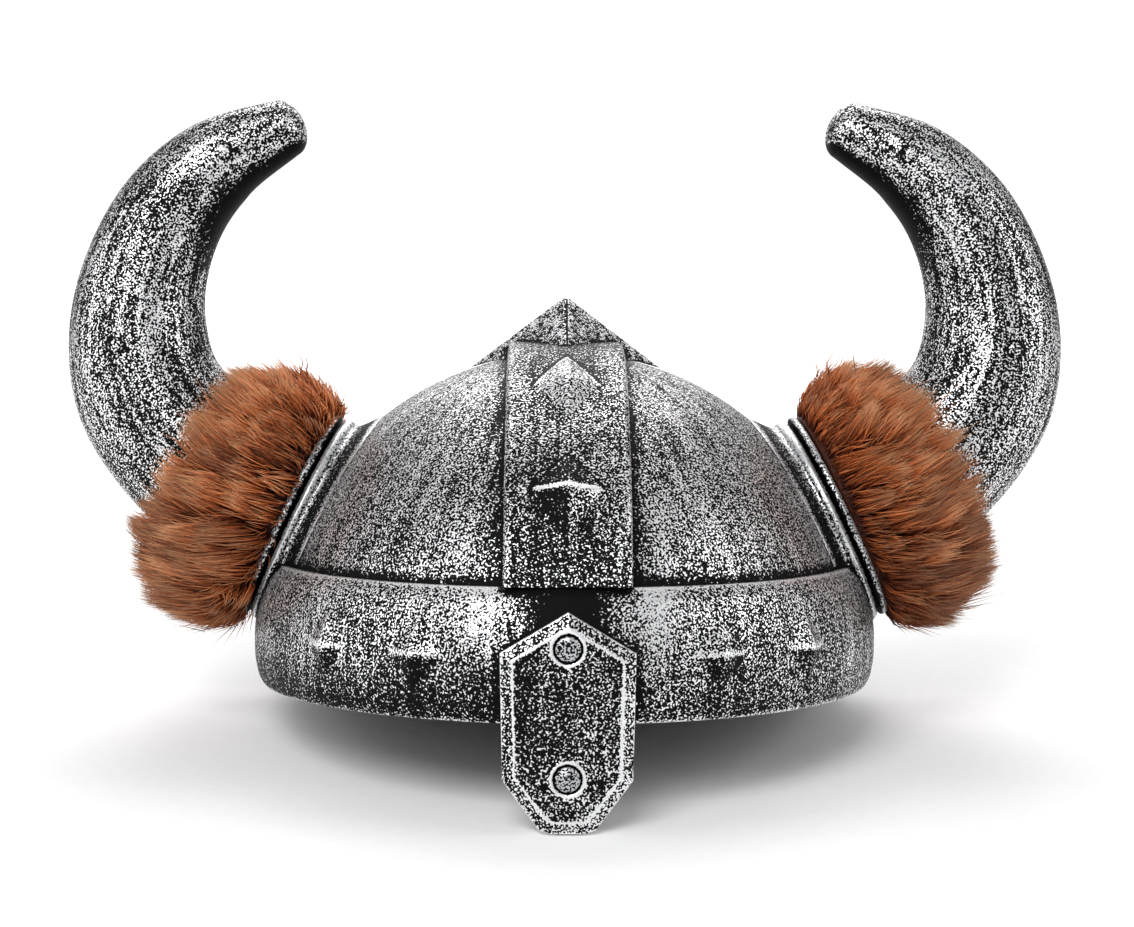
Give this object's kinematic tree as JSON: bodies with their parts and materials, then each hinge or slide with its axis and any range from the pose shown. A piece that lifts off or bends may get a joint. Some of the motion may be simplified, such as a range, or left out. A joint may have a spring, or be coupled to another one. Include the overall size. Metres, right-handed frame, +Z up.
{
  "type": "viking helmet",
  "caption": "Costume viking helmet: hollow oval dome, brow band, studded strip, crown pyramid, nose guard, and curved horns in collars with deep fur cuffs.",
  "frame": {"origin": "middle of the helmet's box on the surface that it stands on: it rests on the tip of its nose guard and the back of its rim", "axes": "+Z up, -Y the way the helmet faces, +X to the right of someone who looks at its front"},
  "size_m": [0.3092, 0.235, 0.1921],
  "materials": {
    "dome_silver": "antique silver, dry-brushed over near-black, with a fine leathery grain",
    "trim_silver": "antique silver, brighter on its edges, dark in its corners",
    "horn_silver": "antique silver, brushed along the horn",
    "rivet_silver": "dark antique silver with a bright rim",
    "rust_fur": "long rust-brown fur"
  },
  "bodies": {
    "root": {"dome_shell": "dome_silver", "brow_band": "trim_silver", "ridge_strip": "trim_silver", "crown_peak": "trim_silver", "nose_guard": "trim_silver", "nose_rivet_upper": "rivet_silver", "nose_rivet_lower": "rivet_silver", "collar_left": "trim_silver", "collar_right": "trim_silver", "flange_left": "trim_silver", "flange_right": "trim_silver", "horn_left": "horn_silver", "horn_right": "horn_silver", "fur_cuff_left": "rust_fur", "fur_cuff_right": "rust_fur"}
  },
  "joints": []
}
